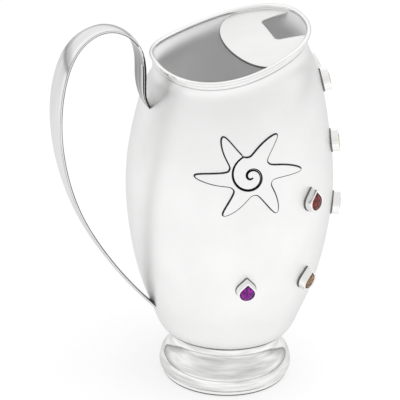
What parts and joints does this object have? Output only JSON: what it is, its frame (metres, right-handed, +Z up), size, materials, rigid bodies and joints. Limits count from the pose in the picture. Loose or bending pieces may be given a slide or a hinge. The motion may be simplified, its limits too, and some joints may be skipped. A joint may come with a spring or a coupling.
{
  "type": "water pitcher",
  "caption": "Footed silver water pitcher with a bulbous body, round mouth with an ice guard, high strap handle, flat swirl stars and pear-cut stones in tall bezels.",
  "frame": {"origin": "centre of the flat face under the base ring, on the body's axis, where the pitcher rests", "axes": "+Z up along the body's axis, +X towards the spout, the handle on the -X side, -Y the side called near and +Y the side called far"},
  "size_m": [0.1853, 0.1324, 0.2485],
  "materials": {
    "satin_silver": "satin silver, fine polish",
    "polished_silver": "bright polished silver",
    "oxidised_silver": "satin silver with darkened edges and groove",
    "amethyst": "polished faceted stone, purple",
    "garnet": "polished faceted stone, dark red",
    "smoky_quartz": "polished faceted stone, red brown with olive lights",
    "citrine": "polished faceted stone, olive yellow"
  },
  "bodies": {
    "root": {"body_shell": "satin_silver", "mouth_wire": "polished_silver", "ice_guard": "satin_silver", "foot": "polished_silver", "foot_ring": "polished_silver", "handle_strap": "polished_silver", "star_near": "oxidised_silver", "bezel_low_flank_near": "polished_silver", "stone_low_flank_near": "amethyst", "bezel_low_quarter_near": "polished_silver", "stone_low_quarter_near": "smoky_quartz", "bezel_mid_quarter_near": "polished_silver", "stone_mid_quarter_near": "garnet", "bezel_low_spout_near": "polished_silver", "stone_low_spout_near": "amethyst", "bezel_mid_spout_near": "polished_silver", "stone_mid_spout_near": "citrine", "bezel_high_spout_near": "polished_silver", "stone_high_spout_near": "garnet", "star_far": "oxidised_silver", "bezel_low_flank_far": "polished_silver", "stone_low_flank_far": "amethyst", "bezel_low_quarter_far": "polished_silver", "stone_low_quarter_far": "smoky_quartz", "bezel_mid_quarter_far": "polished_silver", "stone_mid_quarter_far": "garnet", "bezel_low_spout_far": "polished_silver", "stone_low_spout_far": "amethyst", "bezel_mid_spout_far": "polished_silver", "stone_mid_spout_far": "citrine", "bezel_high_spout_far": "polished_silver", "stone_high_spout_far": "garnet"}
  },
  "joints": []
}
